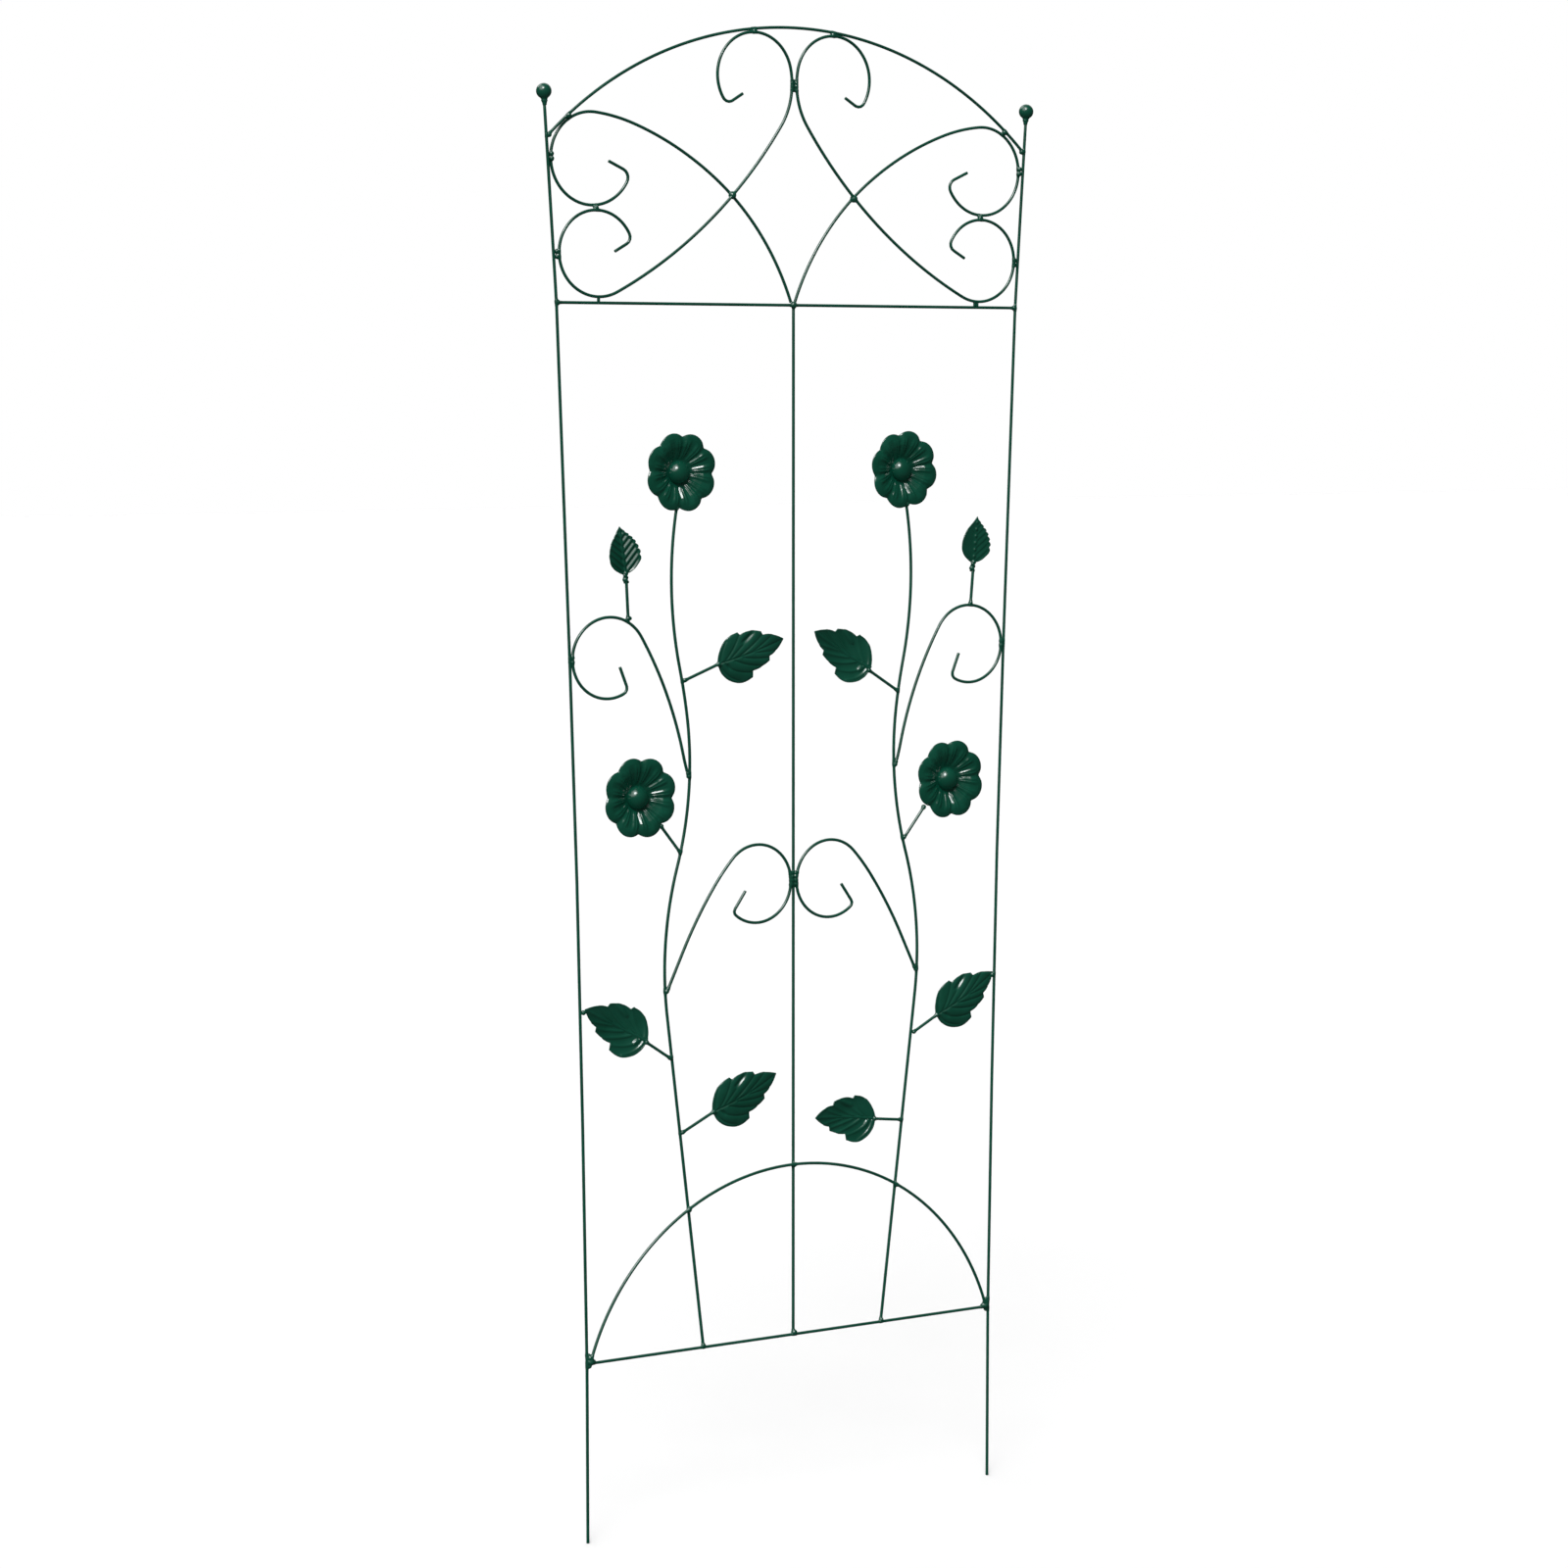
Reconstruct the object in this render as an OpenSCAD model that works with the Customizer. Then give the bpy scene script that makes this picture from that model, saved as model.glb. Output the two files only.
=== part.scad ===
// Flat garden trellis of welded round wire: two ground prongs, an arched top with four
// scrolls, and two climbing stems that carry pressed leaves and flowers.
// Millimetres. X is across the panel, +Z is up, the front faces -Y. The origin is on the
// ground-prong tips' level, midway between the prongs, in the plane of the posts.
// Heights inside the lists below are measured from the bottom crossbar's centre line.

/* [Wire] */
// Diameter of the coated wire used for every bar, scroll and stalk
wire_d = 3.1; // [2.9:0.05:3.3]
// Length of each ground prong below the bottom crossbar
prong_l = 182; // [120:1:260]

/* [Pressed parts] */
// Thickness of the leaf and flower sheet
sheet_t = 1.2; // [0.9:0.1:1.5]
// Radius from a flower's centre to its petal tips
flower_r = 39.5; // [38:0.5:41]
// Radius of the button in each flower's centre
dome_r = 11.6; // [10.5:0.1:12.5]
// Height that each large leaf bulges between its base and its tip
leaf_bulge = 6.2; // [5:0.2:8]

/* [Finials] */
// Diameter of the ball on each post
ball_d = 15.2; // [13:0.2:18]

/* [Welds] */
// Size of the weld beads against the usual size
weld_k = 1; // [0.8:0.05:1.2]

/* [Hidden] */
wr = wire_d / 2;
z0 = prong_l;          // height of the bottom crossbar's centre line
bar_z = 1044.3;        // top crossbar above the bottom one
front = 0.55 - wire_d / 2;   // depth of the heart scrolls, towards the front
back = wire_d / 2 + 0.35;    // depth of the side scrolls, welded on behind them
arch_y = -0.75 * wire_d;     // depth of the low arch, laid across the front
stem_y = arch_y + wire_d - 0.1;   // the stems and the rod cross it from behind
fine = 48;
coarse = 24;

// ---- bent wires -------------------------------------------------------------------
// A wire is a list of [radius, angle] bends and [0, length] straights, bent in the panel's
// plane from a start [x, z, heading]. A positive radius turns left, seen from the front.
top_arch = [[393, 88.6]];
low_arch = [[247.5, 144.6]];
heart = [[0, 13.9], [7.7, 89.5], [42.5, 200.2], [74.2, 45.5], [491, 29.4], [45, 66.1],
  [41.1, 203], [7.3, 88.1], [0, 15.5]];
side = [[0, 18.1], [8.6, 94.1], [44.6, 247.4], [186, 13.5], [324, 18.8], [266, 32]];
stem = [[-418, 21.4], [576, 4.5], [369, 23.8], [-375, 23], [0, 341.4]];
upper_branch = [[211, 4.6], [-398, 18.5], [-41.6, 117.6], [-39.4, 148.5], [-6, 84.6], [0, 20.2]];
lower_branch = [[0, 37.7], [464, 9.1], [225, 8.5], [39.5, 267], [4.6, 84.7], [0, 21.5]];
// the posts flare outwards through slight bends, from the prong tip to the ball
post_pts = [[240.3, -prong_l], [240.3, -6], [243.9, 241], [248.9, 482], [255.5, 697],
  [268, bar_z], [280.3, 1240]];
tips = [280.4, 1244.8];   // centre of the ball on the right-hand post

function bend(g) = g[0] == 0 ? 0 : g[1];
module piece(g, fn) {
    r = abs(g[0]);
    if (r == 0) rotate([0, 90, 0]) cylinder(h = g[1], r = wr, $fn = fn);
    else translate([0, 0, g[0]]) rotate([90, 0, 0])
        rotate_extrude(angle = g[1], start = g[0] > 0 ? -90 : 90 - g[1], $fn = r > 150 ? 720 : 96)
            translate([r, 0]) circle(r = wr, $fn = fn);
}
// each bend meets the next under a knuckle a hair wider than the wire
module chain(segs, fn = 32, i = 0) {
    g = segs[i];
    a = bend(g);
    s = g[0] < 0 ? -1 : 1;
    piece(g, fn);
    if (i + 1 < len(segs))
        translate(g[0] == 0 ? [g[1], 0, 0] : [abs(g[0]) * sin(a), 0, g[0] * (1 - cos(a))])
            rotate([0, -s * a, 0]) {
                sphere(r = wr + 0.03, $fn = fn);
                chain(segs, fn, i + 1);
            }
}
module wire(start, segs, y = 0, fn = 32)
    translate([start[0], y, z0 + start[1]]) rotate([0, -start[2], 0]) chain(segs, fn);
// the same wire on the other side of the panel: every bend turns the other way
function turned(segs) = [for (g = segs) [-g[0], g[1]]];
module far_wire(start, segs, y = 0) wire([-start[0], start[1], 180 - start[2]], turned(segs), y);
// a straight wire between two points of the panel
module rod(a, b, y = 0) {
    d = b - a;
    translate([a[0], y, z0 + a[1]]) rotate([0, 90 - atan2(d[1], d[0]), 0])
        cylinder(h = norm(d), r = wr, $fn = fine);
}
module rods(p) for (i = [0 : len(p) - 2]) {
    rod(p[i], p[i + 1]);
    if (i > 0) translate([p[i][0], 0, z0 + p[i][1]]) sphere(r = wr + 0.03, $fn = fine);
}
module left() mirror([1, 0, 0]) children();

// ---- finials ----------------------------------------------------------------------
// ball with a cone-shaped collar; the post's top is seated in its blind bore
module finial() {
    rb = ball_d / 2;
    translate([tips[0], 0, z0 + tips[1]]) rotate([0, 3.6, 0]) difference() {
        union() {
            sphere(r = rb, $fn = 64);
            translate([0, 0, -rb - 6.4]) cylinder(h = 8.4, r1 = wr + 0.7, r2 = rb * 0.62, $fn = fine);
        }
        translate([0, 0, -rb - 7]) cylinder(h = rb + 2.2, r = wr + 0.02, $fn = fine);
    }
}

// ---- pressed leaves ---------------------------------------------------------------
// a smooth run of points through p, n steps between each pair
function at(p, i) = p[min(max(i, 0), len(p) - 1)];
function cr(a, b, c, d, t) = (2 * b + (c - a) * t + (2 * a - 5 * b + 4 * c - d) * t * t
    + (3 * b - a - 3 * c + d) * t * t * t) / 2;
function run(p, n = 4) = concat([for (i = [0 : len(p) - 2], k = [0 : n - 1])
    cr(at(p, i - 1), at(p, i), at(p, i + 1), at(p, i + 2), k / n)], [p[len(p) - 1]]);
leaf_l = 77.5;
// outline from the base along the upper edge to the tip, then along the lower edge:
// each side has two hooked teeth
leaf_up = [[[0, 2], [3, 9.5], [9.5, 18], [18, 23], [26.8, 24]], [[28.6, 21], [36, 21.8],
  [45, 20], [52.2, 16.8]], [[53.4, 13], [61, 11], [70, 6], [77.5, 0.4]]];
leaf_low = [[[0, -3], [1.5, -10.5], [7, -19], [16, -25], [24, -26.2], [32.6, -24.2]],
  [[33.8, -17.8], [42, -17.6], [54.6, -14.4]], [[55.6, -10], [63, -8.4], [71, -4.4], [77.5, -0.4]]];
leaf_edge = concat([for (c = leaf_up) for (q = run(c)) q],
    [for (i = [2 : -1 : 0]) let (c = run(leaf_low[i])) for (k = [len(c) - 1 : -1 : 0]) c[k]]);
mid_u = leaf_l / 2;
ball_r = (mid_u * mid_u + leaf_bulge * leaf_bulge) / (2 * leaf_bulge);
// veins as [start along the midrib, angle off it, length, rib radius]
veins = [[5, 62, 17, 0.9], [8, 38, 27, 0.9], [18, 31, 27, 0.9], [31, 27, 24, 0.8], [45, 24, 17, 0.7]];
module vein(u, a, l, r) {
    b = l / ball_r * 180 / PI;
    rotate([0, (u - mid_u) / ball_r * 180 / PI, 0]) rotate([0, 0, a])
        rotate([90, 0, 0]) rotate_extrude(angle = b, start = 90 - b, $fn = 180)
            translate([ball_r - sheet_t / 2 + 0.25, 0]) circle(r = r, $fn = coarse);
}
// base at the origin, tip along +X, bulging towards +Z
module leaf_sheet() translate([0, 0, leaf_bulge]) intersection() {
    translate([0, 0, -leaf_bulge - 4]) linear_extrude(leaf_bulge + 8) polygon(leaf_edge);
    translate([mid_u, 0, -ball_r]) union() {
        difference() {
            sphere(r = ball_r, $fn = 180);
            sphere(r = ball_r - sheet_t, $fn = 180);
        }
        vein(1.5, 0, leaf_l - 6, 1.1);
        for (v = veins, s = [-1, 1]) vein(v[0], s * v[1], v[2], v[3]);
    }
}
// base [x, z], heading, size against the usual one, the tip's depth, roll about the midrib,
// and over for a leaf that is turned face down
module leaf(base, heading, size, tip_y = 0, roll = 0, over = false)
    translate([base[0], 0, z0 + base[1]])
        rotate([0, -heading, 0]) rotate([0, 0, asin(tip_y / leaf_l)])
        rotate([90 + roll, 0, 0]) rotate([over ? 180 : 0, 0, 0])
        scale(size) leaf_sheet();

// ---- small leaves beside the upper branches --------------------------------------------
bud_l = 45;
function bud_w(t) = 17.9 * pow(sin(180 * pow(t, 0.72)), 0.72) * (1 - 0.18 * t) + 0.7 * abs(sin(1170 * t));
module bud_half(s) rotate([s * 11, 0, 0]) union() {
    linear_extrude(sheet_t) polygon(concat([[0, 0]],
        [for (i = [0 : 26]) let (t = i / 26) [bud_l * t, s * max(bud_w(t), 0.3)]], [[bud_l, 0]]));
    for (i = [0 : 5]) translate([3.5 + 6.2 * i, 0, sheet_t]) rotate([0, 0, s * 47])
        rotate([0, 90, 0]) cylinder(h = [17, 18, 16, 13.5, 10.5, 7][i], r = 0.9, $fn = coarse);
}
module bud_leaf(base, heading)
    translate([base[0], 0, z0 + base[1]]) rotate([0, -heading, 0]) rotate([90, 0, 0]) {
        bud_half(1);
        bud_half(-1);
        translate([-7.6, 0, sheet_t / 2]) rotate([0, 90, 0]) cylinder(h = bud_l + 5.6, r = 1.15, $fn = fine);
        // the leaf's tang is wound round the stalk in a small knot
        translate([-2.5, 0, 0]) sphere(r = 2.5, $fn = fine);
        translate([-8, 0, 0]) difference() {
            sphere(r = 3, $fn = fine);
            translate([-6, 0, 0]) rotate([0, 90, 0]) cylinder(h = 6, r = wr, $fn = fine);
        }
    }

// ---- flowers --------------------------------------------------------------------------
// pressed bowl with eight petals: a flat seat, a cone of ribs and an edge rolled back.
// The profile is [radius, depth behind the rim's crest], front face.
seat_r = 12.2;
crest_r = flower_r - 8;
bowl = [[0, 8.2], [seat_r, 8.2], [seat_r + 2.5, 7], [crest_r - 5, 1.1], [crest_r - 2, 0.2], [crest_r, 0],
  [crest_r + 3, 0.5], [crest_r + 6, 2], [flower_r + 1, 4]];
module petals(r) union() {
    circle(r = r * 0.62, $fn = 64);
    for (i = [0 : 7]) rotate(45 * i + 22.5) translate([r - 16, 0]) circle(r = 16, $fn = 64);
}
// faces +Z, crest of the rim at z = 0
module flower_sheet() intersection() {
    translate([0, 0, -14]) linear_extrude(18) petals(flower_r);
    union() {
        rotate_extrude($fn = 96) polygon(concat([for (q = bowl) [q[0], -q[1]]],
            [for (i = [len(bowl) - 1 : -1 : 0]) [bowl[i][0], -bowl[i][1] - sheet_t]]));
        for (i = [0 : 7], k = [-1 : 1]) rotate([0, 0, 45 * i + 22.5 + 13 * k])
            translate([seat_r + 1.6, 0, -7.4]) rotate([0, 90 - 26.2, 0])
                cylinder(h = 18, r1 = 0.8, r2 = 1.1, $fn = coarse);
    }
}
module flower(c, turn, y, size) translate([c[0], y, z0 + c[1]]) rotate([90, 0, 0])
    rotate([0, 0, turn]) scale(size) flower_sheet();
// pressed button: a hollow cap with a short skirt, seated on the flower's flat
module button(c, y, size) translate([c[0], y, z0 + c[1]]) rotate([90, 0, 0]) scale(size)
    translate([0, 0, -8.2]) difference() {
        union() {
            cylinder(h = 1.2, r = dome_r, $fn = 64);
            intersection() {
                translate([0, 0, 1.2 - 3.4]) sphere(r = norm([dome_r, 3.4]), $fn = 96);
                translate([0, 0, 1]) cylinder(h = 20, r = dome_r, $fn = 64);
            }
        }
        translate([0, 0, -0.2 - 3.4]) sphere(r = norm([dome_r, 3.4]) - sheet_t, $fn = 96);
    }

// ---- positions ------------------------------------------------------------------------
rim_y = -4.1;   // depth of the rim's crest of every flower
// flowers: [centre, turn, size]
flowers = [[[-130.9, 879.8], -3, 1], [[130.7, 879.7], 10, 1], [[-178.4, 560.6], -3, 1.03],
  [[188.5, 560.6], 3.5, 1.03]];
// large leaves: [base, heading, size, tip depth, roll, turned over, stalk's root, stalk's end]
leaves = [
  [[-87.9, 689.2], 16.8, 1.025, 0, 4, false, [-126.4, 674.6], [-87.6, 689.3]],    // upper left
  [[91.2, 678.6], 149.4, 1.005, 0, 0, true, [124.2, 654.8], [90, 676.6]],         // upper right
  [[-171.2, 318.1], 152.2, 1.02, 0, 0, true, [-144.6, 298.2], [-171.4, 316.4]],   // outer left
  [[174.3, 315.3], 29.1, 1.05, 1, 3, false, [146, 300.2], [174.6, 315.5]],        // outer right
  [[-94.6, 239], 23.2, 1.055, 1.5, 4, false, [-130.2, 221.8], [-94.3, 239.2]],    // lower left
  [[98.1, 214.4], 174.2, 0.965, -3, 0, true, [129.6, 209.8], [97.6, 213.8]]];     // lower right

module leaf_no(i) let (l = leaves[i]) leaf(l[0], l[1], l[2], l[3], l[4], l[5]);
module leaf_stalk(i) rod(leaves[i][6], leaves[i][7]);
module flower_no(i) flower(flowers[i][0], flowers[i][1], rim_y, flowers[i][2]);
module button_no(i) button(flowers[i][0], rim_y, flowers[i][2]);
bud_root = [[-190.4, 738], [214.4, 742.2]];
bud_base = [[-192.9, 782.3], [218, 784]];
bud_turn = [99, 84.3];

// ---- weld beads ------------------------------------------------------------------------
module bead(x, z, r = 2.7, y = 0) translate([x, y, z0 + z]) sphere(r = r * weld_k, $fn = coarse);
module both_sides() {
    children();
    left() children();
}

// starts of the right-hand wires: [x, z, heading]
heart_at = [59.5, 1250.5, -31.53];
side_at = [209.1, 1180.7, -155.5];
stem_at = [135.6, 841.1, -80.75];
upper_branch_at = [124.1, 584.1, 73];
lower_branch_at = [145.5, 369.7, 115.4];
module post(s) rods([for (p = post_pts) [s * p[0], p[1]]]);
// two short stubs side by side carry the right-hand scroll, one the left
module scroll_foot_wide() for (x = [217.3, 220.3]) rod([x, bar_z + wr], [x, bar_z + 5.6], front / 2);

module frame_welds() color("darkgreen") {
    both_sides() {
        bead(266.6, bar_z, 2.9);
        bead(275.2, 1203.6, 2.8);
        // the corner fillet of post, bottom crossbar and low arch
        bead(236.4, 2, 4.2, -0.8);
        bead(237.8, -2.6, 2.6, -0.2);
        bead(238.4, 8, 2.5, -0.4);
        bead(106.6, 1.9, 2.6);
    }
    bead(0, bar_z + 0.2, 3.7);
    bead(0.8, 1.8, 3.4);
    for (s = [-1, 1]) bead(s * 123.6, 142.4, 2.8, -1.4);
    bead(0, 175.9, 2.8, -1.4);
}
module scroll_welds() color("darkgreen") both_sides() {
    bead(46, 1312, 3);
    bead(253.6, 1222.6, 3);
    // longer runs where a curl lies along the post
    for (d = [-2.4, 2.4]) {
        bead(272.4 + 0.06 * d, 1183.5 + d, 2.7);
        bead(267 + 0.06 * d, 1090.5 + d, 2.7);
    }
    bead(224.2, 1135.4, 3.1);
    bead(70.9, 1151.1, 3.4);
    bead(2, 1259.3, 2.2);
}
module branch_welds() color("darkgreen") {
    both_sides() {
        for (d = [-2.2, 2.2]) bead(252.6 + 0.04 * d, 699 + d, 2.5);
        bead(122.2, 579, 2.5);
        bead(123.2, 582, 2.3);
        bead(148, 365.4, 2.6);
        bead(146.4, 368, 2.4);
        for (d = [-2.2, 2.2]) bead(2.2, 466.9 + d, 2.4);
    }
    for (i = [0, 1]) bead(bud_root[i][0], bud_root[i][1] - 0.6, 2.3);
}
module leaf_welds() color("darkgreen") {
    for (l = leaves) {
        bead(l[6][0], l[6][1], 2.4);
        bead(l[7][0], l[7][1], 2.7);
    }
    bead(-242.4, 352, 2.7);
    bead(243.6, 352, 2.7);
}
module flower_welds() color("darkgreen") {
    bead(-136.6, 840.6, 2.5, 0.6);
    bead(136.6, 840.6, 2.5, 0.6);
    bead(-153.6, 531.2, 2.5, 0.6);
    bead(157.6, 533, 2.8, 0.6);
    bead(-132.4, 503.8, 2.4);
    bead(133.4, 503.4, 2.4);
}

color("darkgreen") post(-1);  // post_left
color("darkgreen") post(1);  // post_right
color("green") rod([-268 + wr, bar_z], [268 - wr, bar_z]);  // top_crossbar
color("green") rod([-240.3 + wr, 0], [240.3 - wr, 0]);  // bottom_crossbar
color("green") rod([0, wr], [0, bar_z - wr], stem_y);  // centre_rod
color("green") wire([-274.2, 1205.2, 44.3], turned(top_arch));
color("green") wire([-236.5, 4.3, 72.3], turned(low_arch), arch_y);
color("seagreen") far_wire(heart_at, heart, front);  // heart_scroll_left
color("seagreen") wire(heart_at, heart, front);  // heart_scroll_right
color("seagreen") far_wire(side_at, side, back);  // side_scroll_left
color("seagreen") wire(side_at, side, back);  // side_scroll_right
color("seagreen") rod([-222.1, bar_z + wr], [-222.1, bar_z + 5.6], front / 2);  // scroll_foot_left
color("seagreen") scroll_foot_wide();  // scroll_foot_right
color("green") far_wire(stem_at, stem, stem_y);  // stem_left
color("green") wire(stem_at, stem, stem_y);  // stem_right
color("seagreen") far_wire(upper_branch_at, upper_branch);  // upper_branch_left
color("seagreen") wire(upper_branch_at, upper_branch);  // upper_branch_right
color("seagreen") far_wire(lower_branch_at, lower_branch);  // lower_branch_left
color("seagreen") wire(lower_branch_at, lower_branch);  // lower_branch_right
color("green") leaf_stalk(0);  // upper_leaf_stalk_left
color("green") leaf_stalk(1);  // upper_leaf_stalk_right
color("green") leaf_stalk(2);  // outer_leaf_stalk_left
color("green") leaf_stalk(3);  // outer_leaf_stalk_right
color("green") leaf_stalk(4);  // lower_leaf_stalk_left
color("green") leaf_stalk(5);  // lower_leaf_stalk_right
color("green") rod(bud_root[0], [-192.2, 774.4]);  // bud_leaf_stalk_left
color("green") rod(bud_root[1], [217.2, 776]);  // bud_leaf_stalk_right
color("green") rod([-133.6, 505.2], [-154.4, 531.4]);  // flower_stalk_left
color("green") rod([134.8, 504.7], [158, 533.8]);  // flower_stalk_right
color("limegreen") leaf_no(0);  // upper_leaf_left
color("limegreen") leaf_no(1);  // upper_leaf_right
color("limegreen") leaf_no(2);  // outer_leaf_left
color("limegreen") leaf_no(3);  // outer_leaf_right
color("limegreen") leaf_no(4);  // lower_leaf_left
color("limegreen") leaf_no(5);  // lower_leaf_right
color("limegreen") bud_leaf(bud_base[0], bud_turn[0]);  // bud_leaf_left
color("limegreen") bud_leaf(bud_base[1], bud_turn[1]);  // bud_leaf_right
color("mediumseagreen") flower_no(0);  // upper_flower_left
color("mediumseagreen") flower_no(1);  // upper_flower_right
color("mediumseagreen") flower_no(2);  // lower_flower_left
color("mediumseagreen") flower_no(3);  // lower_flower_right
color("darkgreen") button_no(0);  // upper_button_left
color("darkgreen") button_no(1);  // upper_button_right
color("darkgreen") button_no(2);  // lower_button_left
color("darkgreen") button_no(3);  // lower_button_right
color("darkgreen") left() finial();  // finial_left
color("darkgreen") finial();  // finial_right
frame_welds();
scroll_welds();
branch_welds();
leaf_welds();
flower_welds();
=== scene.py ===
from math import asin, ceil, cos, exp, hypot, log, pi, radians, sin, sqrt, tan

import bpy
import numpy as np
from mathutils import Matrix, Vector, geometry, noise


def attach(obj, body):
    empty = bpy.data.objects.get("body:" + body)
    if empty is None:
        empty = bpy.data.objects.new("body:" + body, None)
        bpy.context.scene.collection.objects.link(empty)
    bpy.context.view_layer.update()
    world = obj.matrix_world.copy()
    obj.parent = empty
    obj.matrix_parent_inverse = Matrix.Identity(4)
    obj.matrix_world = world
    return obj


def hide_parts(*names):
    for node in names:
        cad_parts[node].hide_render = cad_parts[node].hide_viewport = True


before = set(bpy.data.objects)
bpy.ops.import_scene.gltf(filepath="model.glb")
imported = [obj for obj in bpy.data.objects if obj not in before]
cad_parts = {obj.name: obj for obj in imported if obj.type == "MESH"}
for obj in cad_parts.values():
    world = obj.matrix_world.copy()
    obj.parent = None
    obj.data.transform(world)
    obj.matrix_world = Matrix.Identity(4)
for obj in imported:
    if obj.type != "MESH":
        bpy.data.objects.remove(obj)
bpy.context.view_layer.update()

MM = 0.001

WIRE_R = 1.55          # radius of every wire
SHEET = 1.2            # thickness of the pressed sheet
GROUND = 182.0         # height of the bottom crossbar's centre line
TOP_BAR = 1044.3       # top crossbar above the bottom one
FRONT_Y, BACK_Y = -1.0, 1.9      # depth of the heart scrolls and of the side scrolls
FOOT_Y = -0.5                    # depth of the short feet under the scrolls
ARCH_Y = -2.325                  # depth of the low arch
STEM_Y = 0.675                   # depth of the stems and the centre rod
RIM_Y = -4.1                     # depth of the flowers' rims
TINY = 1e-12                     # keeps a division away from zero
FAR = 1e9                        # a distance larger than any other

# ---- materials ---------------------------------------------------------------------------
DEEP, LIGHT = (0.0014, 0.051, 0.0285), (0.0028, 0.070, 0.041)
PATCH_SCALE = 38.0               # patches of the two greens, in cells a metre
PATCH_EDGES = (0.32, 0.68)       # noise levels where the deep green ends and the light starts
PEEL_DEPTH = 0.0002              # height of the orange peel, in metres
ROUGH_SPREAD = (-0.05, 0.07)     # how the patches shift the roughness


def powder_coat(name, rough, grain, bump):
    """Glossy powder coat: two close greens in soft patches, fine orange peel, a clear top."""
    mat = bpy.data.materials.new(name)
    mat.use_nodes = True
    nodes, links = mat.node_tree.nodes, mat.node_tree.links
    shader = nodes["Principled BSDF"]
    coords = nodes.new("ShaderNodeTexCoord")
    patches = nodes.new("ShaderNodeTexNoise")
    patches.inputs["Scale"].default_value = PATCH_SCALE
    patches.inputs["Detail"].default_value = 3.0
    ramp = nodes.new("ShaderNodeValToRGB")
    for stop, at, colour in zip(ramp.color_ramp.elements, PATCH_EDGES, (DEEP, LIGHT)):
        stop.position = at
        stop.color = (*colour, 1)
    peel = nodes.new("ShaderNodeTexNoise")
    peel.inputs["Scale"].default_value = grain
    peel.inputs["Detail"].default_value = 2.0
    bumps = nodes.new("ShaderNodeBump")
    bumps.inputs["Strength"].default_value = bump
    bumps.inputs["Distance"].default_value = PEEL_DEPTH
    shine = nodes.new("ShaderNodeMapRange")
    shine.inputs["To Min"].default_value = rough + ROUGH_SPREAD[0]
    shine.inputs["To Max"].default_value = rough + ROUGH_SPREAD[1]
    links.new(coords.outputs["Object"], patches.inputs["Vector"])
    links.new(coords.outputs["Object"], peel.inputs["Vector"])
    links.new(patches.outputs["Fac"], ramp.inputs["Fac"])
    links.new(ramp.outputs["Color"], shader.inputs["Base Color"])
    links.new(peel.outputs["Fac"], bumps.inputs["Height"])
    links.new(bumps.outputs["Normal"], shader.inputs["Normal"])
    links.new(patches.outputs["Fac"], shine.inputs["Value"])
    links.new(shine.outputs["Result"], shader.inputs["Roughness"])
    shader.inputs["Metallic"].default_value = 0.0
    shader.inputs["Specular IOR Level"].default_value = 0.5
    shader.inputs["Coat Weight"].default_value = 0.6
    shader.inputs["Coat Roughness"].default_value = 0.1
    return mat


# name: roughness, cells of orange peel a metre, strength of the bump
COATS = {name: powder_coat(name, *look) for name, look in {
    "wire_coat": (0.30, 900.0, 0.20),
    "leaf_coat": (0.30, 600.0, 0.16),
    "flower_coat": (0.24, 600.0, 0.10),
    "finial_coat": (0.28, 600.0, 0.15),
    "weld_coat": (0.34, 520.0, 0.50),
}.items()}

# ---- mesh helpers --------------------------------------------------------------------------


def piece(node, verts, faces, slot):
    """A finished mesh, in millimetres, that stands for one node of the frame."""
    mesh = bpy.data.meshes.new(node + "_finish")
    mesh.from_pydata((np.asarray(verts, float) * MM).tolist(), [], faces)
    mesh.validate()
    mesh.polygons.foreach_set("use_smooth", [True] * len(mesh.polygons))
    mesh.update()
    obj = bpy.data.objects.new(node + "_finish", mesh)
    bpy.context.scene.collection.objects.link(obj)
    mesh.materials.append(COATS[slot])
    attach(obj, "root")
    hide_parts(node)


def unit(v):
    return v / np.maximum(np.linalg.norm(v, axis=-1, keepdims=True), TINY)


def circle_turn(sides):
    return np.linspace(0, 2 * pi, sides, endpoint=False)


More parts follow.
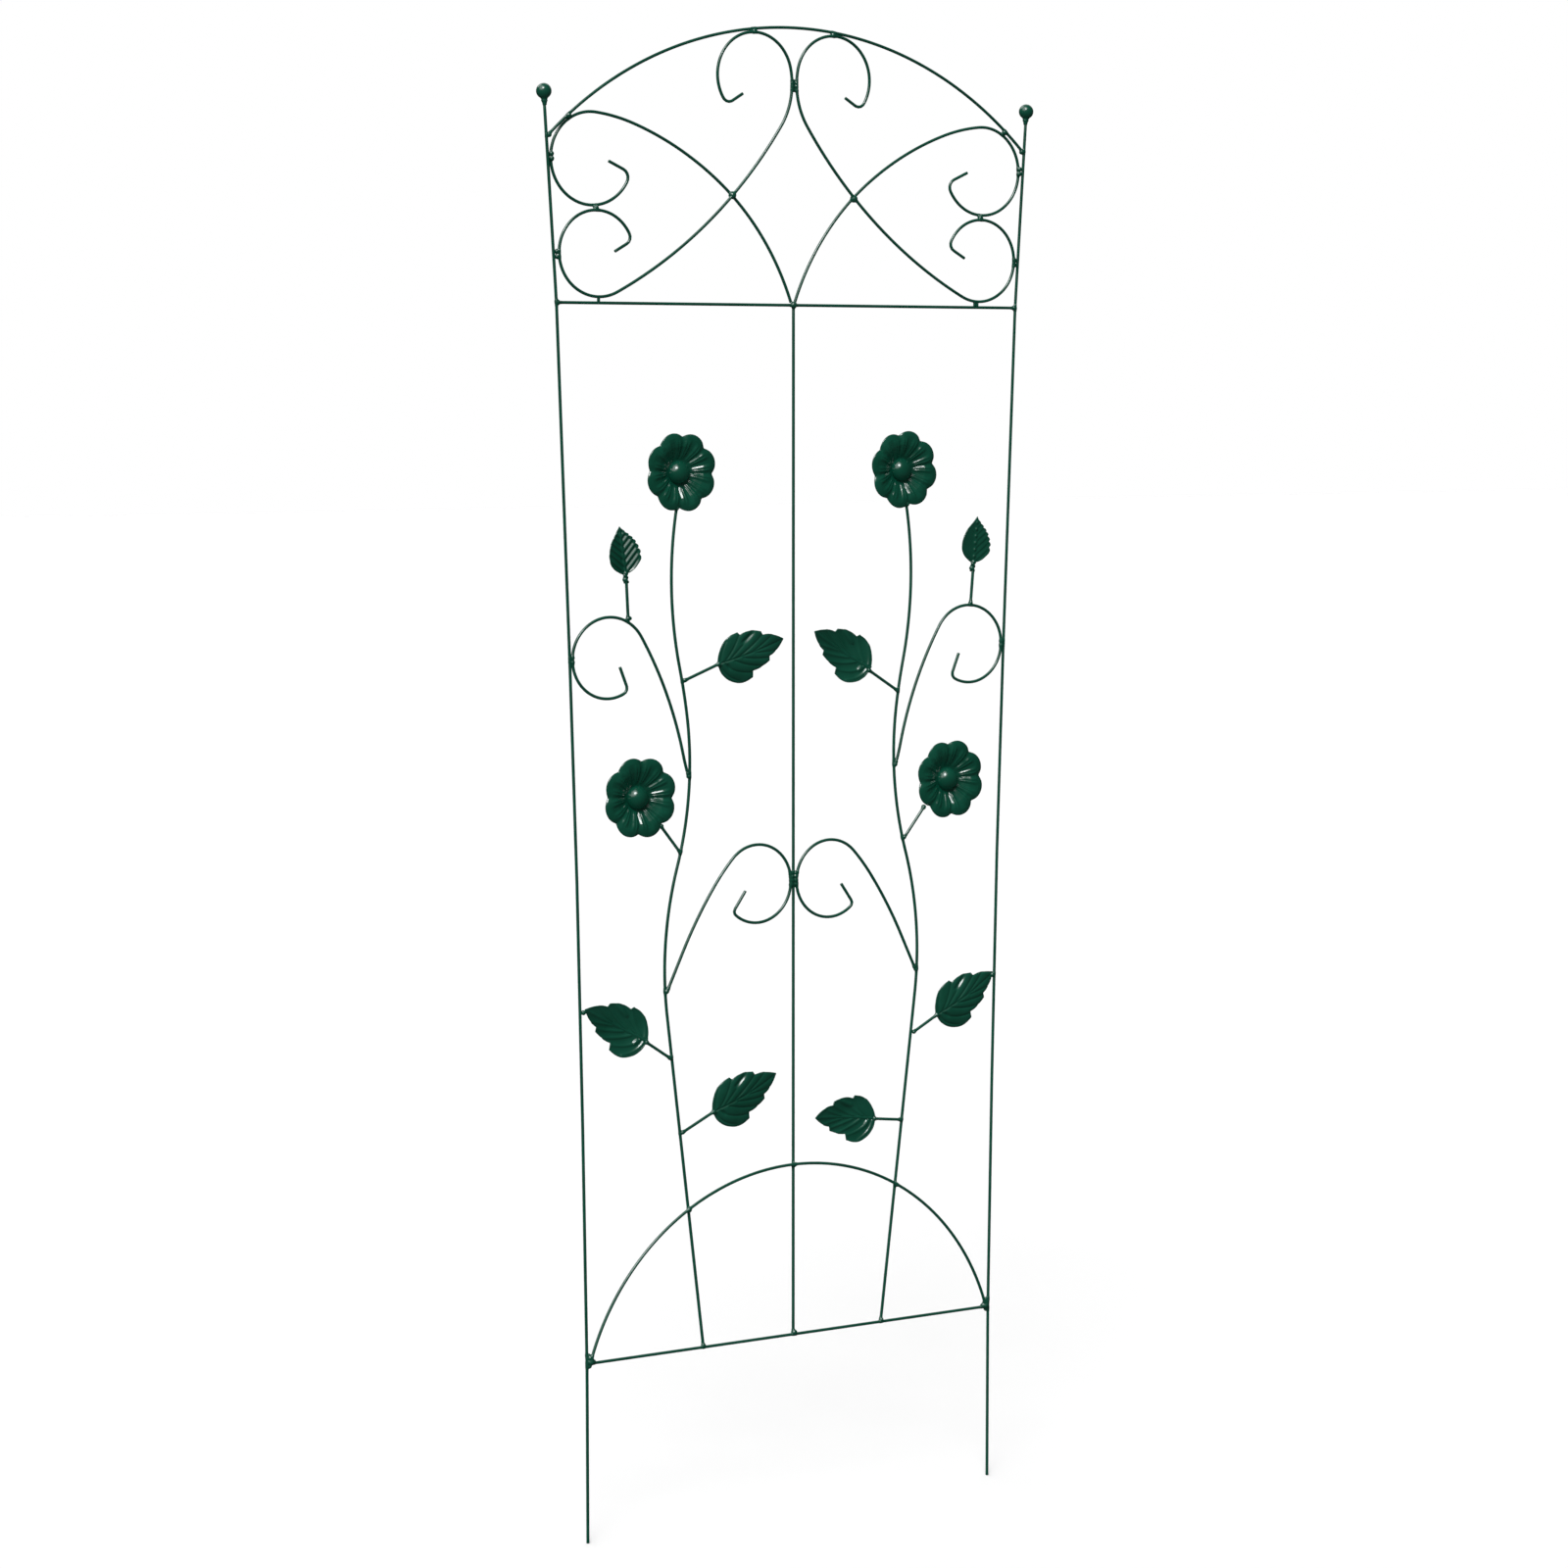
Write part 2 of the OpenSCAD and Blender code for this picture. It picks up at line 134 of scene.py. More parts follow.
def sweep(points, radius, sides=20):
    """A closed round tube along points in the panel's plane, its cut ends slightly rounded."""
    pts = np.asarray(points, float)
    rad = np.broadcast_to(np.asarray(radius, float), len(pts)).copy()
    along = unit(np.gradient(pts, axis=0))
    soft = ((-0.45, 1.0), (-0.16, 0.94), (0.0, 0.80))   # distance from the end, share of radius
    rows = [(pts[0] - along[0] * d, along[0], rad[0] * k) for d, k in reversed(soft)]
    rows += [(pts[i], along[i], rad[i]) for i in range(1, len(pts) - 1)]
    rows += [(pts[-1] + along[-1] * d, along[-1], rad[-1] * k) for d, k in soft]
    turn = circle_turn(sides)
    verts = []
    for p, t, r in rows:
        n = unit(np.cross(t, (0.0, 1.0, 0.0)))
        b = np.cross(n, t)
        verts.append(p + r * (np.outer(np.cos(turn), n) + np.outer(np.sin(turn), b)))
    verts = np.concatenate(verts)
    faces = []
    for i in range(len(rows) - 1):
        for k in range(sides):
            a, b = i * sides + k, i * sides + (k + 1) % sides
            faces.append((a, b, b + sides, a + sides))
    last = len(rows) * sides
    verts = np.vstack([verts, rows[0][0], rows[-1][0]])
    for k in range(sides):
        faces.append((k, last, (k + 1) % sides))
        faces.append((last - sides + k, last - sides + (k + 1) % sides, last + 1))
    return verts, [tuple(reversed(f)) for f in faces]


def lathe(profile, sides):
    """A closed turned body about Z from (radius, height) points; both ends are on the axis."""
    turn = circle_turn(sides)
    verts, faces = [(0, 0, profile[0][1])], []
    for r, z in profile[1:-1]:
        verts += [(r * cos(a), r * sin(a), z) for a in turn]
    verts.append((0, 0, profile[-1][1]))
    rings, end = len(profile) - 2, len(verts) - 1
    for k in range(sides):
        n = (k + 1) % sides
        faces.append((0, 1 + n, 1 + k))
        for i in range(rings - 1):
            a, b = 1 + i * sides + k, 1 + i * sides + n
            faces.append((a, b, b + sides, a + sides))
        faces.append((end - sides + k, end - sides + n, end))
    return np.array(verts), faces


def thicken(verts, faces, thick, bulge):
    """Closes an open sheet: a back skin along the normals and a rounded rim between the two."""
    v = np.asarray(verts, float)
    normal = np.zeros_like(v)
    for f in faces:
        n = np.cross(v[f[1]] - v[f[0]], v[f[2]] - v[f[0]])
        for i in f:
            normal[i] += n
    normal = unit(normal)
    sides = {(f[i], f[(i + 1) % len(f)]) for f in faces for i in range(len(f))}
    rim = [(a, b) for a, b in sides if (b, a) not in sides]
    out = np.zeros_like(v)
    for a, b in rim:
        side = np.cross(unit(v[b] - v[a]), unit(normal[a] + normal[b]))
        out[a] += side
        out[b] += side
    edge = sorted({i for e in rim for i in e})
    place = {i: 2 * len(v) + k for k, i in enumerate(edge)}
    middle = v[edge] - normal[edge] * thick / 2 + unit(out[edge]) * bulge
    back = len(v)
    closed = [tuple(f) for f in faces] + [tuple(i + back for i in reversed(f)) for f in faces]
    for a, b in rim:
        closed.append((b, a, place[a], place[b]))
        closed.append((place[b], place[a], a + back, b + back))
    return np.vstack([v, v - normal * thick, middle]), closed


def joined(parts):
    """Several meshes as one."""
    verts, faces, total = [], [], 0
    for v, f in parts:
        verts.append(v)
        faces += [tuple(i + total for i in g) for g in f]
        total += len(v)
    return np.vstack(verts), faces


def placed(verts, matrix):
    m = np.array(matrix)
    return np.asarray(verts) @ m[:3, :3].T + m[:3, 3]


# ---- bent wires ----------------------------------------------------------------------------
BEND_STEP, BEND_TURN = 3.0, radians(5)      # longest chord and sharpest turn of a bent wire
LONG_STEP = 20.0                            # spacing of the points of a straight wire


def bent(start, segs, y, side=1):
    """Points of a wire from [x, z, heading]: (radius, angle) bends and (0, length) straights."""
    x, z, h = start[0], start[1], radians(start[2])
    pts = [(x, z)]
    for r, a in segs:
        length = a if r == 0 else abs(r) * radians(a)
        turn = 0 if r == 0 else radians(a) * (1 if r > 0 else -1)
        n = max(1, ceil(max(length / BEND_STEP, abs(turn) / BEND_TURN)))
        chord = length / n if r == 0 else 2 * abs(r) * sin(abs(turn) / n / 2)
        for _ in range(n):
            h += turn / n / 2
            x, z = x + chord * cos(h), z + chord * sin(h)
            h += turn / n / 2
            pts.append((x, z))
    return np.array([(side * px, y, GROUND + pz) for px, pz in pts])


def straight(points, y=0.0, side=1):
    return np.array([(side * px, y, GROUND + pz) for px, pz in points])


def even(pts, step):
    """The same line with a point every step millimetres."""
    run = np.concatenate([[0], np.cumsum(np.linalg.norm(np.diff(pts, axis=0), axis=1))])
    at = np.linspace(0, run[-1], max(2, int(run[-1] / step) + 1))
    return np.stack([np.interp(at, run, pts[:, k]) for k in range(3)], axis=1)


def foot(x):
    """A short stub that stands on the top crossbar."""
    return straight([(x, TOP_BAR + 1), (x, TOP_BAR + 5.6)], FOOT_Y)


POST = [(240.3, -GROUND), (240.3, -6), (243.9, 241), (248.9, 482), (255.5, 697),
        (268, TOP_BAR), (280.3, 1240)]
HEART = [(0, 13.9), (7.7, 89.5), (42.5, 200.2), (74.2, 45.5), (491, 29.4), (45, 66.1),
         (41.1, 203), (7.3, 88.1), (0, 15.5)]
SIDE = [(0, 18.1), (8.6, 94.1), (44.6, 247.4), (186, 13.5), (324, 18.8), (266, 32)]
STEM = [(0, 9), (-418, 21.4), (576, 4.5), (369, 23.8), (-375, 23), (0, 341.4)]
UPPER_BRANCH = [(211, 4.6), (-398, 18.5), (-41.6, 117.6), (-39.4, 148.5), (-6, 84.6),
                (0, 20.2)]
LOWER_BRANCH = [(0, 37.7), (464, 9.1), (225, 8.5), (39.5, 267), (4.6, 84.7), (0, 21.5)]
# large leaves: base, heading, size, the tip's depth, roll, turned over, stalk's root and end
LEAVES = {
    "upper_leaf_left": ((-87.9, 689.2), 16.8, 1.025, 0, 4, False,
                        (-126.4, 674.6), (-87.6, 689.3)),
    "upper_leaf_right": ((91.2, 678.6), 149.4, 1.005, 0, 0, True,
                         (124.2, 654.8), (90, 676.6)),
    "outer_leaf_left": ((-171.2, 318.1), 152.2, 1.02, 0, 0, True,
                        (-144.6, 298.2), (-171.4, 316.4)),
    "outer_leaf_right": ((174.3, 315.3), 29.1, 1.05, 1, 3, False,
                         (146, 300.2), (174.6, 315.5)),
    "lower_leaf_left": ((-94.6, 239), 23.2, 1.055, 1.5, 4, False,
                        (-130.2, 221.8), (-94.3, 239.2)),
    "lower_leaf_right": ((98.1, 214.4), 174.2, 0.965, -3, 0, True,
                         (129.6, 209.8), (97.6, 213.8)),
}
# flowers: centre, turn, size
FLOWERS = {
    "upper_flower_left": ((-130.9, 879.8), -3, 1.0),
    "upper_flower_right": ((130.7, 879.7), 10, 1.0),
    "lower_flower_left": ((-178.4, 560.6), -3, 1.03),
    "lower_flower_right": ((188.5, 560.6), 3.5, 1.03),
}
# small leaves: stalk's root and end, the leaf's base, turn
BUDS = {
    "bud_leaf_left": ((-190.4, 738), (-192.2, 774.4), (-192.9, 782.3), 99),
    "bud_leaf_right": ((214.4, 742.2), (217.2, 776), (218, 784), 84.3),
}

wires = {
    "top_crossbar": straight([(-268, TOP_BAR), (268, TOP_BAR)]),
    "bottom_crossbar": straight([(-240.3, 0), (240.3, 0)]),
    "centre_rod": straight([(0, 0.4), (0, TOP_BAR - 0.4)], STEM_Y),
    "top_arch": bent((-274.2, 1205.2, 44.3), [(-393, 88.6)], 0.0),
    "low_arch": bent((-236.5, 4.3, 72.3), [(-247.5, 144.6)], ARCH_Y),
    "scroll_foot_left": foot(-222.1),
    "flower_stalk_left": straight([(-133.6, 505.2), (-154.4, 531.4)]),
    "flower_stalk_right": straight([(134.8, 504.7), (158, 533.8)]),
}
for tag, s in (("left", -1), ("right", 1)):
    wires["post_" + tag] = straight(POST, 0.0, s)
    wires["heart_scroll_" + tag] = bent((59.5, 1250.5, -31.53), HEART, FRONT_Y, s)
    wires["side_scroll_" + tag] = bent((209.1, 1180.7, -155.5), SIDE, BACK_Y, s)
    wires["stem_" + tag] = bent((134.15, 849.98, -80.75), STEM, STEM_Y, s)
    wires["upper_branch_" + tag] = bent((124.1, 584.1, 73), UPPER_BRANCH, 0.0, s)
    wires["lower_branch_" + tag] = bent((145.5, 369.7, 115.4), LOWER_BRANCH, 0.0, s)
    wires["bud_leaf_stalk_" + tag] = straight(BUDS["bud_leaf_" + tag][:2])
for name, leaf in LEAVES.items():
    wires[name.replace("_leaf_", "_leaf_stalk_")] = straight(leaf[-2:])

for name, line in wires.items():
    long_run = name.startswith("post") or "bar" in name or "rod" in name
    piece(name, *sweep(even(line, LONG_STEP if long_run else BEND_STEP), WIRE_R, 24),
          "wire_coat")
stubs = [sweep(even(foot(x), 1.5), WIRE_R) for x in (217.3, 220.3)]
piece("scroll_foot_right", *joined(stubs), "wire_coat")

# ---- welds -----------------------------------------------------------------------------------
# each bead is a ball of filler with sleeves that run out along the wires it joins
RUN_OUT = 3.4                # how far a sleeve reaches along the wire past its bead
GROUP_REACH = 18.0           # beads nearer than this are fused together
BALL_SHARE = 0.97            # the ball against the bead's nominal radius
SLEEVE_SINK, SLEEVE_SWELL = 0.12, 0.95     # sleeve below the wire's skin, and its growth
VOXEL = 0.42                 # grain of the fused skin
LUMPS = ((420.0, 0.22), (1100.0, 0.08))    # unevenness: cells a metre, height


def mirrored(beads):
    return beads + [(-b[0],) + tuple(b[1:]) for b in beads]


# beads: x, height above the bottom crossbar, radius, depth if not 0
WELDS = {
    "frame_welds": mirrored([
        (266.6, TOP_BAR, 2.9), (275.2, 1203.6, 2.8), (236.4, 2, 4.2, -0.8),
        (237.8, -2.6, 2.6, -0.2), (238.4, 8, 2.5, -0.4), (106.6, 1.9, 2.6),
        (237.0, 5.6, 3.5, -0.9), (233.6, 1.6, 2.9, -0.6),
    ]) + [
        (0, TOP_BAR + 0.2, 3.7), (0.8, 1.8, 3.4), (-123.6, 142.4, 2.8, -1.4),
        (123.6, 142.4, 2.8, -1.4), (0, 175.9, 2.8, -1.4),
    ],
    "scroll_welds": mirrored([
        (46, 1312, 3), (253.6, 1222.6, 3), (272.3, 1181.1, 2.7), (272.5, 1185.9, 2.7),
        (266.9, 1088.1, 2.7), (267.1, 1092.9, 2.7), (224.2, 1135.4, 3.1),
        (70.9, 1151.1, 4.1, 0.2), (1, 1259.3, 2.4), (0.8, 1262.6, 2.2), (0.8, 1256, 2.2),
        (0.7, 1265, 1.8),
    ]),
    "branch_welds": mirrored([
        (252.5, 696.8, 2.5), (252.7, 701.2, 2.5), (122.2, 579, 2.5), (123.2, 582, 2.3),
        (148, 365.4, 2.6), (146.4, 368, 2.4), (2.4, 463.5, 2.3), (2.2, 467.4, 2.7),
        (2.2, 471.3, 2.7), (2.4, 474.8, 2.3),
    ]) + [(-190.4, 737.4, 2.7), (-188.6, 737.8, 2.3), (214.4, 741.6, 2.5)],
    "leaf_welds": [(*leaf[-2], 2.4) for leaf in LEAVES.values()]
    + [(*leaf[-1], 2.7) for leaf in LEAVES.values()]
    + [(-242.4, 352, 2.7), (243.6, 352, 2.7)],
    "flower_welds": [
        (-135.4, 845.0, 2.7, -0.6), (135.4, 845.0, 2.7, -0.6), (-153.6, 531.2, 2.5, 0.2),
        (157.6, 533, 2.8, 0.6), (-132.4, 503.8, 2.4), (133.4, 503.4, 2.4),
    ],
}
fine_lines = [even(line, 0.5) for line in wires.values()]


def ball(centre, r):
    rows = 12
    profile = [(r * sin(pi * i / rows), -r * cos(pi * i / rows)) for i in range(rows + 1)]
    verts, faces = lathe(profile, 18)
    return verts + np.array(centre), faces


def clusters(beads, reach):
    """Beads gathered into groups whose members are within reach of each other."""
    groups = []
    for bead in beads:
        near = [g for g in groups if any(hypot(bead[0] - o[0], bead[1] - o[1]) < reach for o in g)]
        groups = [g for g in groups if g not in near] + [sum(near, []) + [bead]]
    return groups


def fused(parts):
    """Runs filler and sleeves together into one skin and roughens it like weld metal."""
    verts, faces = joined(parts)
    mesh = bpy.data.meshes.new("filler")
    mesh.from_pydata((verts * MM).tolist(), [], faces)
    obj = bpy.data.objects.new("filler", mesh)
    bpy.context.scene.collection.objects.link(obj)
    remesh = obj.modifiers.new("fuse", "REMESH")
    remesh.mode, remesh.voxel_size = "VOXEL", VOXEL * MM
    relax = obj.modifiers.new("relax", "SMOOTH")
    relax.factor, relax.iterations = 0.5, 5
    graph = bpy.context.evaluated_depsgraph_get()
    skin = bpy.data.meshes.new_from_object(obj.evaluated_get(graph))
    skin.update()
    out = []
    for v in skin.vertices:
        lump = sum(noise.noise(v.co * grain) * height for grain, height in LUMPS)
        out.append(np.array(v.co) / MM + np.array(v.normal) * lump)
    faces = [tuple(f.vertices) for f in skin.polygons]
    bpy.data.objects.remove(obj)
    return np.array(out), faces


def weld_group(node, beads):
    done = []
    for group in clusters(beads, GROUP_REACH):
        parts = []
        for bead in group:
            x, z, r = bead[:3]
            c = np.array((x, bead[3] if len(bead) > 3 else 0.0, GROUND + z))
            parts.append(ball(c, r * BALL_SHARE))
            reach = r + RUN_OUT
            for line in fine_lines:
                gap = np.linalg.norm(line - c, axis=1)
                if gap.min() > r + WIRE_R * 0.6:
                    continue
                near = np.flatnonzero(gap < reach)
                for run in np.split(near, np.flatnonzero(np.diff(near) > 1) + 1):
                    if len(run) >= 4:
                        swell = np.clip(1 - gap[run] / reach, 0, 1) ** 1.5
                        sleeve_r = WIRE_R - SLEEVE_SINK + SLEEVE_SWELL * swell
                        parts.append(sweep(line[run], sleeve_r, 16))
        done.append(fused(parts))
    piece(node, *joined(done), "weld_coat")


for node, beads in WELDS.items():
    weld_group(node, beads)

# ---- pressed leaves ----------------------------------------------------------------------------


def smooth_run(pts):
    """Catmull-Rom points through pts, eight steps between each pair."""
    steps = 8
    p = np.array([pts[0], *pts, pts[-1]], float)
    out = []
    for i in range(len(pts) - 1):
        a, b, c, d = p[i:i + 4]
        for k in range(steps):
            t = k / steps
            out.append((2 * b + (c - a) * t + (2 * a - 5 * b + 4 * c - d) * t * t
                        + (3 * b - a - 3 * c + d) * t ** 3) / 2)
    return out + [p[-1]]


def segment_gap(pts, a, b):
    """Distance of each point from the segment a to b, and how far along it is, 0 to 1."""
    d = b - a
    t = np.clip(((pts - a) @ d) / max(d @ d, TINY), 0, 1)
    return np.linalg.norm(pts - a - t[:, None] * d, axis=1), t


def line_gap(pts, line):
    """Distance of each point from a polyline, and how far along the line it is, 0 to 1."""
    best, along = np.full(len(pts), FAR), np.zeros(len(pts))
    for i, (a, b) in enumerate(zip(line[:-1], line[1:])):
        gap, t = segment_gap(pts, a, b)
        near = gap < best
        best[near], along[near] = gap[near], ((i + t) / (len(line) - 1))[near]
    return best, along


def ring_gap(pts, ring):
    """Distance of each point from a closed outline."""
    best = np.full(len(pts), FAR)
    for a, b in zip(ring, np.roll(ring, -1, 0)):
        best = np.minimum(best, segment_gap(pts, a, b)[0])
    return best


def patch(outline, pitch):
    """A triangulated sheet inside a closed outline, with points every pitch millimetres."""
    closest = 0.3 * pitch        # outline points nearer than this are dropped
    row_step = pitch * 0.866     # height of a row of triangles
    clear = 0.55 * pitch         # gap between the outline and the points inside it
    line = [outline[0]]
    for p in outline[1:]:
        if np.hypot(*(p - line[-1])) > closest:
            line.append(p)
    if np.hypot(*(line[-1] - line[0])) < closest:
        line.pop()
    ring = np.array(line)
    lo, hi = ring.min(0), ring.max(0)
    grid = []
    for j, y in enumerate(np.arange(lo[1], hi[1], row_step)):
        for x in np.arange(lo[0] + (j % 2) * pitch / 2, hi[0], pitch):
            grid.append((x, y))
    grid = np.array(grid)
    inside = np.zeros(len(grid), bool)
    for a, b in zip(ring, np.roll(ring, -1, 0)):
        cross = (a[1] > grid[:, 1]) != (b[1] > grid[:, 1])
        with np.errstate(divide="ignore", invalid="ignore"):
            at = (b[0] - a[0]) * (grid[:, 1] - a[1]) / (b[1] - a[1]) + a[0]
        inside ^= cross & (grid[:, 0] < at)
    grid = grid[inside & (ring_gap(grid, ring) > clear)]
    n = len(ring)
    every = [Vector(p) for p in np.vstack([ring, grid])]
    got = geometry.delaunay_2d_cdt(every, [(i, (i + 1) % n) for i in range(n)],
                                   [list(range(n))], 1, 1e-5)
    faces = []
    flat = np.array([tuple(p) for p in got[0]])
    for f in got[2]:
        a, b, c = (flat[i] for i in f[:3])
        up = (b[0] - a[0]) * (c[1] - a[1]) - (b[1] - a[1]) * (c[0] - a[0]) > 0
        faces.append(tuple(f) if up else tuple(reversed(f)))
    return flat, faces, ring


def arc(p0, p1, p2):
    """Ten points of the curve from p0 to p2 that leaves towards p1."""
    p0, p1, p2 = (np.array(p, float) for p in (p0, p1, p2))
    return [(1 - t) ** 2 * p0 + 2 * t * (1 - t) * p1 + t * t * p2
            for t in np.linspace(0, 1, 10)]


LEAF_L, LEAF_BULGE, LEAF_PITCH = 77.5, 6.2, 0.62
PUFF, PUFF_REACH = 0.40, 3.2     # swelling of the sheet between its veins
CURL, CURL_REACH = 0.55, 1.2     # turn of its edge
LEAF_UP = [[(0, 2), (3, 9.5), (9.5, 18), (18, 23), (26.8, 24)],
           [(28.6, 21), (36, 21.8), (45, 20), (52.2, 16.8)],
           [(53.4, 13), (61, 11), (70, 6), (77.5, 0.4)]]
LEAF_LOW = [[(0, -3), (1.5, -10.5), (7, -19), (16, -25), (24, -26.2), (32.6, -24.2)],
            [(33.8, -17.8), (42, -17.6), (54.6, -14.4)],
            [(55.6, -10), (63, -8.4), (71, -4.4), (77.5, -0.4)]]
# pressed grooves as curves: start, control point, end, depth and half-width
VEINS = [
    ((1, 0), (38, 0.8), (75, 0), 0.85, 0.9),
    ((3, 2), (5, 10), (13, 19), 0.75, 0.9),
    ((8, 1.5), (17, 8), (28, 21.5), 0.65, 0.9),
    ((14, 1.8), (26, 9.5), (46, 19.6), 0.6, 0.9),
    ((24, 1.5), (37, 6), (53.4, 13.5), 0.8, 0.9),
    ((38, 1.2), (50, 4), (64, 9), 0.7, 0.8),
    ((28, 12.2), (36, 15.4), (45, 19.4), 2.1, 2.0),
    ((2.5, -3), (4, -15), (18, -23.5), 0.9, 0.9),
    ((7, -2.2), (12, -14), (33.8, -19.5), 0.9, 0.9),
    ((8, -2.6), (9, -5), (11.5, -9.5), 1.6, 1.4),
    ((17, -2), (28, -11), (45, -16.5), 0.95, 0.9),
    ((26, -1.5), (40, -8), (55.6, -11.5), 0.85, 0.9),
    ((40, -1.2), (52, -4.5), (65, -7.5), 0.7, 0.8),
]


def leaf_sheet():
    """A large leaf from its base at the origin to its tip along X, bulging towards Z."""
    outline = []
    for run in LEAF_UP:
        outline += smooth_run(run)
    for run in reversed(LEAF_LOW):
        outline += list(reversed(smooth_run(run)))
    flat, faces, ring = patch(list(reversed(outline)), LEAF_PITCH)
    mid = LEAF_L / 2
    ball_r = (mid * mid + LEAF_BULGE ** 2) / (2 * LEAF_BULGE)
    dish = np.sqrt(ball_r ** 2 - (flat[:, 0] - mid) ** 2 - flat[:, 1] ** 2) - ball_r + LEAF_BULGE
    groove, nearest = np.zeros(len(flat)), np.full(len(flat), FAR)
    for start, ctrl, end, deep, wide in VEINS:
        gap, along = line_gap(flat, arc(start, ctrl, end))
        # veins fade towards the edge, and the broad dents at both their ends
        fade = (1 - 0.35 * along ** 3) if wide < 1 else np.sin(pi * along) ** 0.5
        groove = np.maximum(groove, deep * fade * np.exp(-(gap / wide) ** 2))
        nearest = np.minimum(nearest, gap)
    puff = PUFF * (1 - np.exp(-(nearest / PUFF_REACH) ** 2))
    curl = CURL * np.exp(-(ring_gap(flat, ring) / CURL_REACH) ** 2)
    return thicken(np.column_stack([flat, dish - groove + puff - curl]), faces, SHEET, 0.28)


leaf_mesh = leaf_sheet()
for node, (base, heading, size, tip_y, roll, over, _, _) in LEAVES.items():
    m = (Matrix.Translation((base[0], 0, GROUND + base[1]))
         @ Matrix.Rotation(radians(-heading), 4, "Y")
         @ Matrix.Rotation(asin(tip_y / LEAF_L), 4, "Z")
         @ Matrix.Rotation(radians(90 + roll), 4, "X")
         @ Matrix.Rotation(pi if over else 0, 4, "X") @ Matrix.Scale(size, 4))
    piece(node, placed(leaf_mesh[0], m), leaf_mesh[1], "leaf_coat")

# ---- small folded leaves ---------------------------------------------------------------------
BUD_L, BUD_PITCH = 46.2, 0.5
RIB_PITCH, RIB_ANGLE = 7.0, radians(46)
PLEAT_CREST = 0.66               # where a pleat is highest, as a share of its width
STRAND_R, WIND_R = 1.25, 1.55    # the wound strands' own radius, and that of their winding


def bud_width(t, side):
    """Half-width at a share t of the length: smooth on side 1, toothed on side -1."""
    w = 17.9 * max(sin(pi * t ** 0.72), 0) ** 0.72 * (1 - 0.18 * t)
    w *= min(1, (max(1 - t, 0) / 0.3) ** 0.38)
    if side > 0:
        return w + 0.15
    beat = (BUD_L * t - w / tan(RIB_ANGLE)) / RIB_PITCH
    return w + (2.1 * abs(sin(pi * beat)) ** 0.7 - 0.8) * min(1, 6 * t, 5 * (1 - t))


def bud_sheet(flip):
    """A leaf folded along its midrib, with overlapping pleats; flip shows the other face."""
    outline = [np.array((BUD_L * t, -bud_width(t, -1))) for t in np.linspace(0, 1, 140)]
    outline += [np.array((BUD_L * t, bud_width(t, 1))) for t in np.linspace(1, 0, 70)[1:]]
    flat, faces, _ = patch(outline, BUD_PITCH)
    x, away = flat[:, 0], np.abs(flat[:, 1])
    beat = (x - away / tan(RIB_ANGLE)) / RIB_PITCH % 1.0
    pleat = np.where(beat < PLEAT_CREST, beat / PLEAT_CREST, (1 - beat) / 0.34)
    pleat = 0.35 * pleat + 0.65 * pleat * pleat * (3 - 2 * pleat)
    wide = np.array([bud_width(min(max(t, 0), 1), 1) for t in x / BUD_L])
    fade = np.clip(away / 1.8, 0.15, 1) * np.clip((wide - away) / 2.6, 0.25, 1)
    if not flip:
        height = away * 0.194 + 0.6 - 1.5 * pleat * fade + 0.35 * np.exp(-(away / 1.1) ** 2)
    else:
        # on this face the pleats are low, and a row of dimples stands along the midrib
        off = np.hypot(away, ((x - 0.3 * RIB_PITCH) / RIB_PITCH % 1 - 0.5) * RIB_PITCH)
        height = away * 0.12 - 0.55 * pleat * fade + 1.35 * np.exp(-(off / 1.8) ** 2)
    return thicken(np.column_stack([flat, height]), faces, SHEET, 0.25)


def strand(line, r):
    """A round tube along any space curve, with rounded ends."""
    sides, n = 12, len(line)
    along = unit(np.gradient(line, axis=0))
    side = np.array((0.0, 1.0, 0.0))
    verts, faces = [], []
    turn = circle_turn(sides)
    for i in range(n):
        side = unit(side - along[i] * (side @ along[i]))
        up = np.cross(along[i], side)
        k = min(1.0, 0.35 + 0.4 * min(i, n - 1 - i))
        verts.append(line[i] + r * k * (np.outer(np.cos(turn), side) + np.outer(np.sin(turn), up)))
    for i in range(n - 1):
        for k in range(sides):
            a, b = i * sides + k, i * sides + (k + 1) % sides
            faces.append((a, b, b + sides, a + sides))
    verts = np.vstack(verts + [line[:1], line[-1:]])
    for k in range(sides):
        faces.append((k, n * sides, (k + 1) % sides))
        faces.append(((n - 1) * sides + k, (n - 1) * sides + (k + 1) % sides, n * sides + 1))
    return verts, faces


def helix(a, b, turns, start):
    """A strand wound round the line from a to b."""
    a3, b3 = (np.array((p[0], 0.0, GROUND + p[1])) for p in (a, b))
    axis = unit(b3 - a3)
    n1 = unit(np.cross(axis, (0, 1, 0)))
    n2 = np.cross(n1, axis)
    t = np.linspace(0, 1, 60)
    ang = start + 2 * pi * turns * t
    round_axis = np.outer(np.cos(ang), n1) + np.outer(np.sin(ang), n2)
    return strand(a3 + np.outer(t, b3 - a3) + WIND_R * round_axis, STRAND_R)


